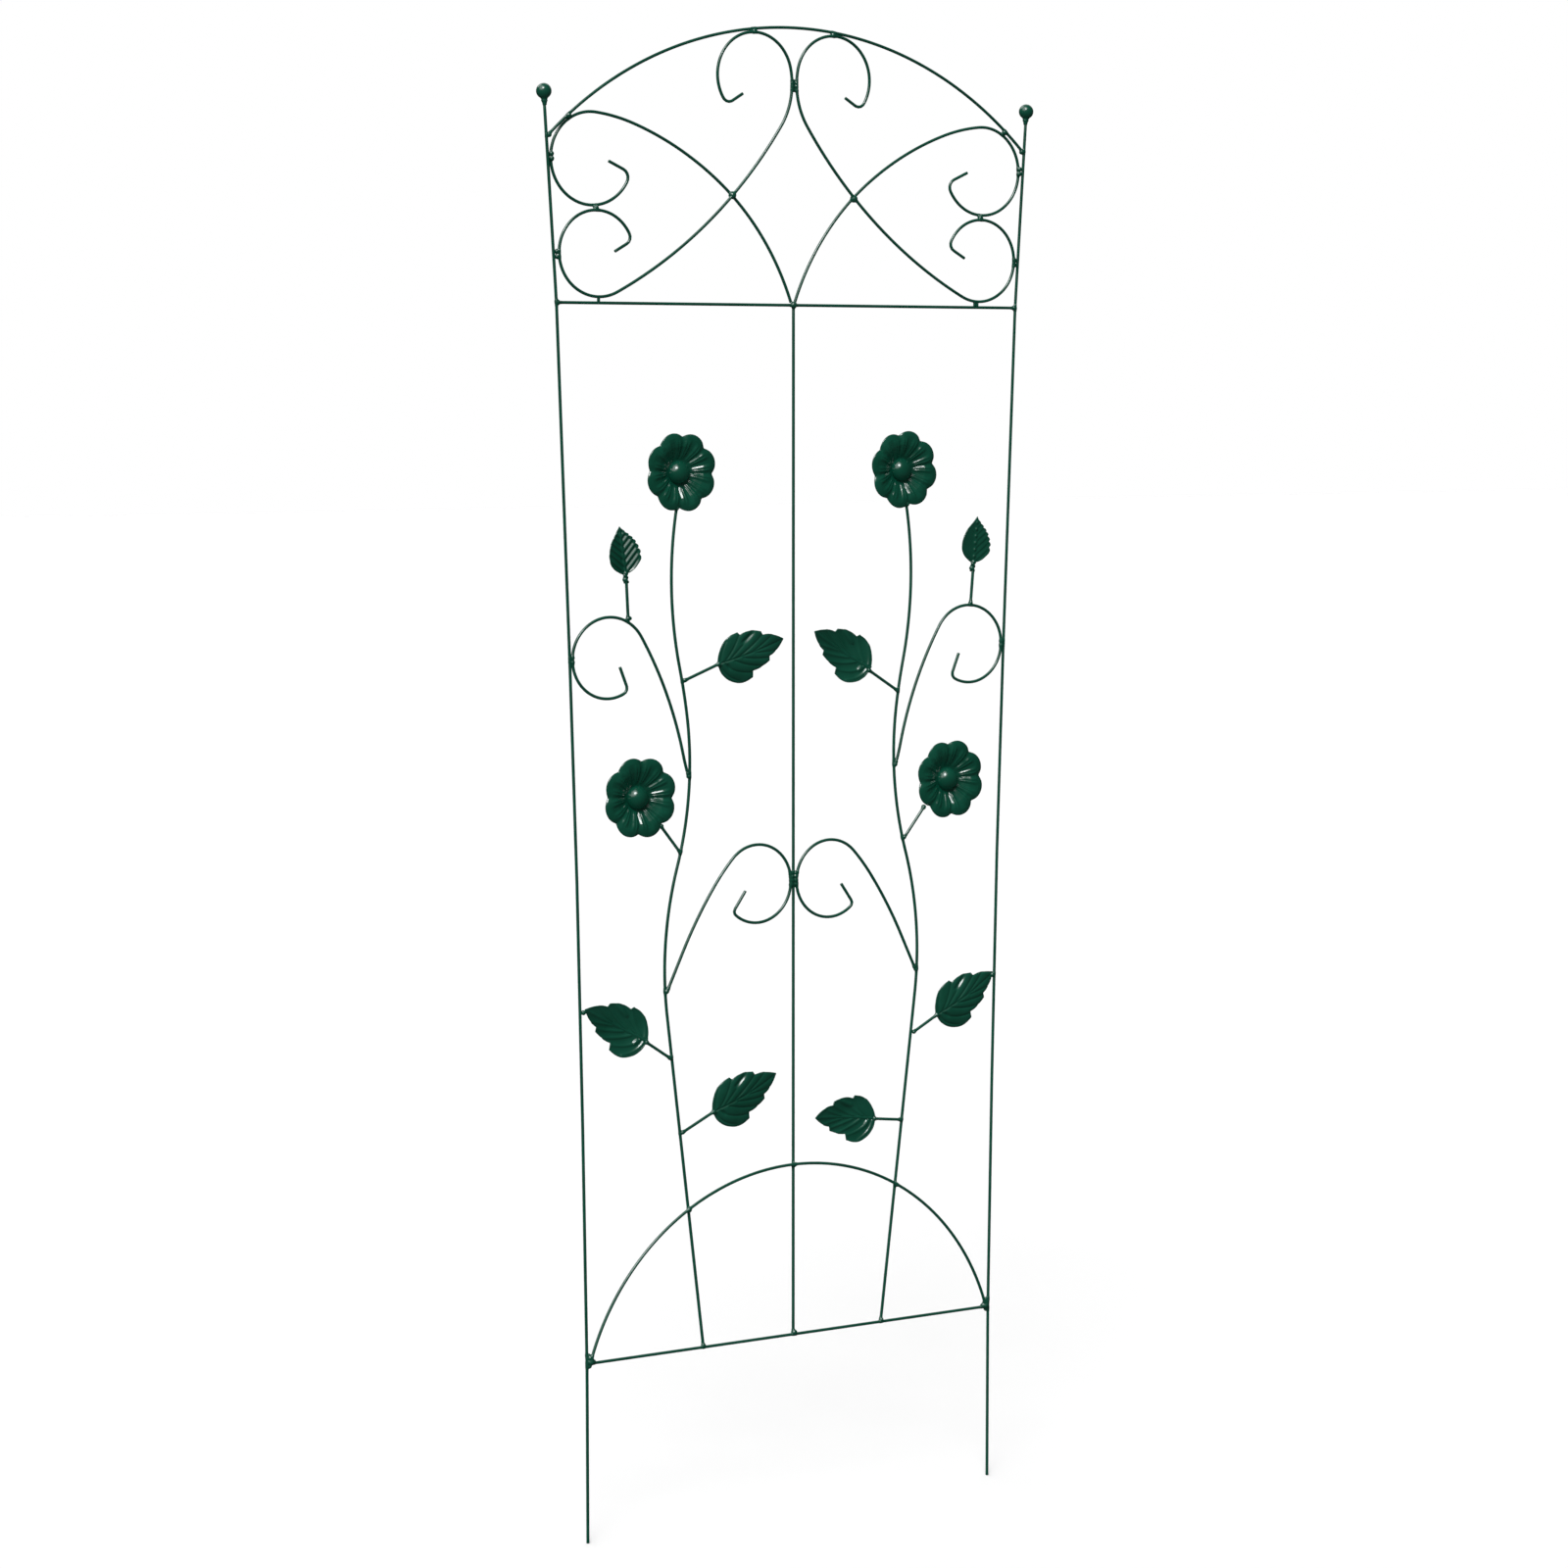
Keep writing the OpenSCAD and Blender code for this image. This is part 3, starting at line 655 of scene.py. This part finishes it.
for node, (_, _, base, turn) in BUDS.items():
    m = (Matrix.Translation((base[0], 0, GROUND + base[1]))
         @ Matrix.Rotation(radians(-turn), 4, "Y") @ Matrix.Rotation(radians(90), 4, "X"))
    v, f = bud_sheet(node.endswith("right"))
    along = np.array((cos(radians(turn)), sin(radians(turn))))
    low, mid, high = (np.array(base) + along * d - (0.8, 0) for d in (-9.8, -6.6, 0.8))
    parts = [(placed(v, m), f), helix(low, high, 1.2, 0.0), helix(low, high, 1.2, pi),
             ball((mid[0] - 0.6, 0.4, GROUND + mid[1]), 2.8),
             ball((base[0] - 0.2, 0.2, GROUND + base[1] - 0.4), 2.9)]
    piece(node, *joined(parts), "leaf_coat")

# ---- flowers -----------------------------------------------------------------------------------
PETAL_R, LOBE_R = 39.5, 16       # radius of the flower, and of the round end of each petal
LOBE_AT = PETAL_R - LOBE_R       # distance of each round end's centre from the flower's
PETAL = 45.0                     # degrees from notch to notch
NOTCH_BLEND = 0.45               # how softly two petals run into each other
# the bowl's profile: distance from the centre, depth behind the rim's crest
BOWL_R = [0, 11.6, 12.6, 14.2, 19.5, 25.4, 28.5, 31.0, 34.5, 37.5, 39.5]
BOWL_D = [8.2, 8.2, 8.05, 7.1, 4.0, 1.0, 0.22, 0.0, 0.25, 0.9, 1.7]
# the ribs across a petal: degrees from a notch, height
RIB_AT = [0, 1.6, 4.1, 4.8, 7.0, 10.0, 13.2, 15.6, 16.3, 19.2, 22.5]
RIB_H = [-1.2, -0.95, -0.35, -0.08, 0.50, -0.02, 0.50, 0.08, -0.18, -0.78, -0.72]
NOTCH_DIP, PETAL_LIFT = 1.3, 0.25          # shape of the rim at a notch and between two
BUTTON_R, BUTTON_RISE = 11.6, 3.4
BUTTON_AXIS = -7.0 - BUTTON_RISE           # depth of the centre of the button's dome


def petal_radius(a):
    """Edge of the flower at an angle in degrees from a notch."""
    here = (a % PETAL) - PETAL / 2         # degrees from the middle of this petal
    other = here + (-PETAL if here > 0 else PETAL)
    out = []
    for d in (radians(here), radians(other)):
        far = LOBE_AT * sin(d)
        out.append(LOBE_AT * cos(d) + sqrt(max(LOBE_R ** 2 - far * far, 0)))
    return NOTCH_BLEND * log(exp(out[0] / NOTCH_BLEND) + exp(out[1] / NOTCH_BLEND))


def flower_sheet():
    """A flower that faces Z, with the crest of its rim at Z = 0."""
    steps, rings = 480, 58
    angle = np.arange(steps) * 360.0 / steps
    edge = np.array([petal_radius(a) for a in angle])
    off = np.minimum(angle % PETAL, PETAL - angle % PETAL)
    wave = np.interp(off, RIB_AT, RIB_H)
    wave = 0.25 * np.roll(wave, 1) + 0.5 * wave + 0.25 * np.roll(wave, -1)
    lobe = np.cos(np.radians(angle * 8))      # -1 in the middle of a petal, 1 at a notch
    notch, middle = np.clip(lobe, 0, 1) ** 2, np.clip(-lobe, 0, 1)
    a = np.radians(angle)
    share = np.linspace(0, 1, rings + 1)[1:] ** 0.9
    verts, faces = [(0, 0, -8.2)], []
    for s in share:
        reach = s * PETAL_R
        blend = np.clip((s - 0.5) / 0.5, 0, 1) ** 1.6
        r = s * (PETAL_R + (edge - PETAL_R) * blend)
        # the ribs rise past the seat and die out before the rim
        grow = np.clip((reach - 12.8) / 4.0, 0, 1) * np.clip((34.0 - reach) / 5.0, 0, 1)
        near_rim = np.clip((reach - 26.0) / 9.0, 0, 1)
        z = -np.interp(reach, BOWL_R, BOWL_D) + wave * grow
        z = z - NOTCH_DIP * near_rim * notch + PETAL_LIFT * near_rim * middle
        verts += list(zip(r * np.cos(a), r * np.sin(a), z))
    for k in range(steps):
        n = (k + 1) % steps
        faces.append((0, 1 + k, 1 + n))
        for i in range(len(share) - 1):
            near, far = 1 + i * steps + k, 1 + i * steps + n
            faces.append((near, near + steps, far + steps, far))
    return thicken(np.array(verts), faces, SHEET, 0.35)


cap_r = hypot(BUTTON_R, BUTTON_RISE)
button = [(0, -8.3), (BUTTON_R - 0.8, -8.3), (BUTTON_R - 0.1, -8.1), (BUTTON_R, -7.6)]
button += [(cap_r * cos(t), BUTTON_AXIS + cap_r * sin(t))
           for t in np.linspace(asin(BUTTON_RISE / cap_r) + 0.03, pi / 2 - 0.03, 26)]
button.append((0, BUTTON_AXIS + cap_r))
button_mesh = lathe(button, 96)
flower_mesh = flower_sheet()
for node, (centre, turn, size) in FLOWERS.items():
    m = (Matrix.Translation((centre[0], RIM_Y, GROUND + centre[1]))
         @ Matrix.Rotation(radians(90), 4, "X") @ Matrix.Rotation(radians(turn), 4, "Z")
         @ Matrix.Scale(size, 4))
    piece(node, placed(flower_mesh[0], m), flower_mesh[1], "flower_coat")
    piece(node.replace("flower", "button"), placed(button_mesh[0], m), button_mesh[1],
          "flower_coat")

# ---- finials -------------------------------------------------------------------------------------
BALL_R = 7.55
FINIAL_X, FINIAL_Z, FINIAL_LEAN = 280.4, 1244.8, 3.6     # centre of the ball, lean in degrees
# the collar under the ball, as radius and height from the ball's centre
finial = [(0, -13.6), (1.8, -13.6), (2.05, -13.2), (2.2, -11.6), (2.7, -10.2), (3.15, -9.4),
          (3.2, -8.9), (3.0, -8.3), (3.2, -7.5), (3.8, -6.7)]
finial += [(BALL_R * cos(t), BALL_R * sin(t))
           for t in np.linspace(radians(-58), pi / 2 - 0.03, 34)]
finial.append((0, BALL_R))
finial_mesh = lathe(finial, 80)
for tag, s in (("left", -1), ("right", 1)):
    m = (Matrix.Translation((s * FINIAL_X, 0, GROUND + FINIAL_Z))
         @ Matrix.Rotation(radians(FINIAL_LEAN * s), 4, "Y"))
    piece("finial_" + tag, placed(finial_mesh[0], m), finial_mesh[1], "finial_coat")

# ---- floor, light and camera ---------------------------------------------------------------------
FLOOR_HALF, FLOOR_GREY = 30, 0.735         # metres, reflectance
floor_mesh = bpy.data.meshes.new("floor")
corners = [(-FLOOR_HALF, -FLOOR_HALF, 0), (FLOOR_HALF, -FLOOR_HALF, 0),
           (FLOOR_HALF, FLOOR_HALF, 0), (-FLOOR_HALF, FLOOR_HALF, 0)]
floor_mesh.from_pydata(corners, [], [(0, 1, 2, 3)])
floor = bpy.data.objects.new("floor", floor_mesh)
bpy.context.scene.collection.objects.link(floor)
pale = bpy.data.materials.new("pale_floor")
pale.use_nodes = True
pale_shader = pale.node_tree.nodes["Principled BSDF"]
pale_shader.inputs["Base Color"].default_value = (FLOOR_GREY, FLOOR_GREY, FLOOR_GREY, 1)
pale_shader.inputs["Roughness"].default_value = 0.9
pale_shader.inputs["Specular IOR Level"].default_value = 0.1
floor_mesh.materials.append(pale)
# the floor and the backdrop are white to the camera and throw no veil on the dark coat
floor.visible_glossy = False
floor.visible_diffuse = False

world = bpy.data.worlds.new("studio")
bpy.context.scene.world = world
world.use_nodes = True
world_nodes, world_links = world.node_tree.nodes, world.node_tree.links


def backdrop(node, strength):
    node.inputs["Color"].default_value = (1, 1, 1, 1)
    node.inputs["Strength"].default_value = strength
    return node


def either(ray, otherwise, chosen):
    """Shows the chosen shader to one kind of ray and the other shader to the rest."""
    mix = world_nodes.new("ShaderNodeMixShader")
    world_links.new(rays.outputs[ray], mix.inputs[0])
    world_links.new(otherwise.outputs[0], mix.inputs[1])
    world_links.new(chosen.outputs[0], mix.inputs[2])
    return mix


rays = world_nodes.new("ShaderNodeLightPath")
seen = backdrop(world_nodes["Background"], 1.0)
in_gloss = backdrop(world_nodes.new("ShaderNodeBackground"), 0.02)
in_room = backdrop(world_nodes.new("ShaderNodeBackground"), 0.30)
unseen = either("Is Glossy Ray", in_room, in_gloss)
studio = either("Is Camera Ray", unseen, seen)
world_links.new(studio.outputs[0], world_nodes["World Output"].inputs["Surface"])


def studio_light(name, direction, angle, strength):
    """A soft light at studio distance, angle degrees wide as seen from the trellis."""
    light = bpy.data.lights.new(name, "SUN")
    light.angle, light.energy = radians(angle), strength
    obj = bpy.data.objects.new(name, light)
    obj.rotation_euler = Vector(direction).to_track_quat("Z", "Y").to_euler()
    bpy.context.scene.collection.objects.link(obj)


studio_light("key_left", (-0.46, -0.56, 0.68), 21, 1.75)
studio_light("broad_left", (-0.66, -0.30, 0.69), 64, 1.9)
studio_light("top_back", (-0.33, 0.60, 0.73), 36, 0.7)
studio_light("back_fill", (0.50, 0.75, 0.42), 70, 1.0)

camera = bpy.data.cameras.new("camera")
camera.lens = 91.86
camera.sensor_width = 36.0
camera.clip_end = 100
cam = bpy.data.objects.new("camera", camera)
right = Vector((0.85264, -0.52250, 0.0))
up = Vector((0.05176, 0.08447, 0.99508))
back = Vector((-0.51993, -0.84845, 0.09907))
view = Matrix((right, up, back)).transposed().to_4x4()
view.translation = Vector((-2.1054, -3.4171, 1.1466))
cam.matrix_world = view
bpy.context.scene.collection.objects.link(cam)
bpy.context.scene.camera = cam
bpy.context.scene.view_settings.view_transform = "Standard"
